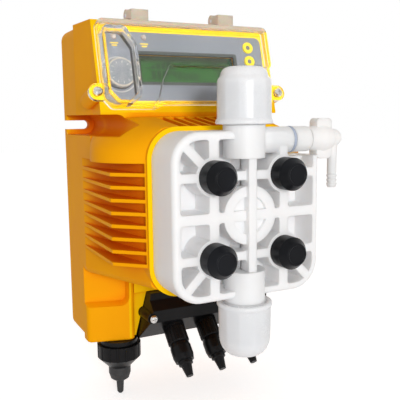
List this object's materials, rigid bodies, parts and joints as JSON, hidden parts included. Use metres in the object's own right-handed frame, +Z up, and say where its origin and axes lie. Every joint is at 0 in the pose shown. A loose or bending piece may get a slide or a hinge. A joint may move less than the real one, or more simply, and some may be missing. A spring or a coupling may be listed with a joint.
{
  "type": "diaphragm metering pump",
  "caption": "Wall-mounted solenoid diaphragm metering pump with a finned case, sloped control panel under a hinged clear cover, ribbed liquid end, bleed valve, union nuts and signal plugs.",
  "frame": {"origin": "in the wall face of the case, midway between the two wall slots", "axes": "+X to the right as seen from the front, +Y into the wall, +Z up"},
  "size_m": [0.1348, 0.1525, 0.252],
  "materials": {
    "case_yellow": "moulded glass-filled plastic, fine grain",
    "cover_clear": "clear polycarbonate with a faint warm tint",
    "steel": "zinc-plated steel",
    "label": "printed polyester film",
    "window": "tinted display pane",
    "display": "liquid crystal module and small parts",
    "board": "glass fibre circuit board",
    "board_parts": "electronic parts",
    "lamp": "clear lens",
    "key": "soft silicone key",
    "dial": "grey moulded plastic",
    "head": "translucent moulded fluoropolymer",
    "nut": "translucent moulded plastic",
    "cap": "black moulded plastic with fine grain",
    "seal": "elastomer",
    "ball": "ceramic",
    "seat": "fluoropolymer seat",
    "bleed": "translucent moulded plastic",
    "membrane": "fluoropolymer-faced elastomer",
    "disc": "glass-filled plastic",
    "iron": "turned magnetic steel",
    "rod": "ground stainless steel",
    "bronze": "sintered bronze",
    "bobbin": "glass-filled nylon",
    "winding": "enamelled copper wire",
    "spring": "spring steel",
    "black": "black moulded plastic",
    "grip": "black rubber"
  },
  "bodies": {
    "pump": {"back_disc": "disc", "bleed_seal": "seal", "bleed_valve_body": "bleed", "board_parts": "board_parts", "board_screws": "steel", "bolt_caps": "cap", "box_screws": "steel", "case_screws": "steel", "clamp_rings": "head", "coil_bobbin": "bobbin", "coil_winding": "winding", "connector_box": "black", "control_board": "board", "diaphragm_membrane": "membrane", "discharge_valve_body": "head", "discharge_valve_seat": "seat", "display_board": "board", "display_parts": "display", "display_window": "window", "end_stop": "disc", "front_case": "case_yellow", "gland_body": "black", "gland_locknut": "black", "gland_tail": "grip", "head_screws": "steel", "hinge_pins": "steel", "hose_nipples": "head", "label_film": "label", "plug_bodies": "black", "pole_piece": "iron", "pump_head": "head", "rear_case": "case_yellow", "return_spring": "spring", "rod_bush": "bronze", "signal_sockets": "black", "solenoid_can": "iron", "status_lamps": "lamp", "suction_ball_cage": "head", "suction_valve_body": "head", "suction_valve_seat": "seat", "valve_seals": "seal"},
    "cover": {"clear_cover": "cover_clear", "cover_screws": "steel"},
    "dial": {"stroke_dial": "dial"},
    "plunger": {"armature": "iron", "thrust_rod": "rod", "diaphragm_core": "membrane"},
    "discharge_ball": {"discharge_valve_ball": "ball"},
    "suction_ball": {"suction_valve_ball": "ball"},
    "discharge_nut": {"discharge_union_nut": "nut"},
    "suction_nut": {"suction_union_nut": "nut"},
    "bleed_knob_body": {"bleed_knob": "bleed"},
    "gland_nut_body": {"gland_nut": "black"},
    "key_1": {"panel_key_1": "key"},
    "key_2": {"panel_key_2": "key"},
    "key_3": {"panel_key_3": "key"},
    "key_4": {"panel_key_4": "key"},
    "plug_ring_1_body": {"plug_ring_1": "black"},
    "plug_ring_2_body": {"plug_ring_2": "black"},
    "plug_ring_3_body": {"plug_ring_3": "black"}
  },
  "joints": [
    {"name": "cover_hinge", "type": "hinge", "parent": "pump", "child": "cover", "pos_m": [0, -0.052, 0.0662], "axis": [-1, 0, 0], "range_deg": [0, 110]},
    {"name": "dial_turn", "type": "hinge", "parent": "pump", "child": "dial", "pos_m": [-0.046, -0.06667, 0.02964], "axis": [0, -0.9659, 0.2588], "range_deg": [0, 300]},
    {"name": "key_1_press", "type": "slide", "parent": "pump", "child": "key_1", "axis": [0, 0.9659, -0.2588], "range_m": [0, 0.0005], "stiffness_N_per_m": 250},
    {"name": "key_2_press", "type": "slide", "parent": "pump", "child": "key_2", "axis": [0, 0.9659, -0.2588], "range_m": [0, 0.0005], "stiffness_N_per_m": 250},
    {"name": "key_3_press", "type": "slide", "parent": "pump", "child": "key_3", "axis": [0, 0.9659, -0.2588], "range_m": [0, 0.0005], "stiffness_N_per_m": 250},
    {"name": "key_4_press", "type": "slide", "parent": "pump", "child": "key_4", "axis": [0, 0.9659, -0.2588], "range_m": [0, 0.0005], "stiffness_N_per_m": 250},
    {"name": "plunger_stroke", "type": "slide", "parent": "pump", "child": "plunger", "axis": [0, -1, 0], "range_m": [0, 0.00125], "stiffness_N_per_m": 2000, "deforming": ["return_spring", "diaphragm_membrane"]},
    {"name": "discharge_ball_lift", "type": "slide", "parent": "pump", "child": "discharge_ball", "axis": [0, 0, 1], "range_m": [0, 0.0012]},
    {"name": "suction_ball_lift", "type": "slide", "parent": "pump", "child": "suction_ball", "axis": [0, 0, 1], "range_m": [0, 0.0012]},
    {"name": "discharge_nut_turn", "type": "hinge", "parent": "pump", "child": "discharge_nut", "pos_m": [0, -0.1333, 0.0175], "axis": [0, 0, 1], "range_deg": [0, 360]},
    {"name": "suction_nut_turn", "type": "hinge", "parent": "pump", "child": "suction_nut", "pos_m": [0, -0.1333, -0.1125], "axis": [0, 0, -1], "range_deg": [0, 360]},
    {"name": "bleed_knob_turn", "type": "hinge", "parent": "pump", "child": "bleed_knob_body", "pos_m": [0.05, -0.1333, -0.0084], "axis": [1, 0, 0], "range_deg": [0, 180]},
    {"name": "gland_nut_turn", "type": "hinge", "parent": "pump", "child": "gland_nut_body", "pos_m": [-0.0409, -0.0357, -0.1505], "axis": [0, 0, -1], "range_deg": [0, 360]},
    {"name": "plug_ring_1_turn", "type": "hinge", "parent": "pump", "child": "plug_ring_1_body", "pos_m": [-0.0075, -0.05175, -0.13575], "axis": [0, -0.7071, -0.7071], "range_deg": [0, 90]},
    {"name": "plug_ring_2_turn", "type": "hinge", "parent": "pump", "child": "plug_ring_2_body", "pos_m": [0.0165, -0.05175, -0.13575], "axis": [0, -0.7071, -0.7071], "range_deg": [0, 90]},
    {"name": "plug_ring_3_turn", "type": "hinge", "parent": "pump", "child": "plug_ring_3_body", "pos_m": [0.0405, -0.05175, -0.13575], "axis": [0, -0.7071, -0.7071], "range_deg": [0, 90]}
  ]
}
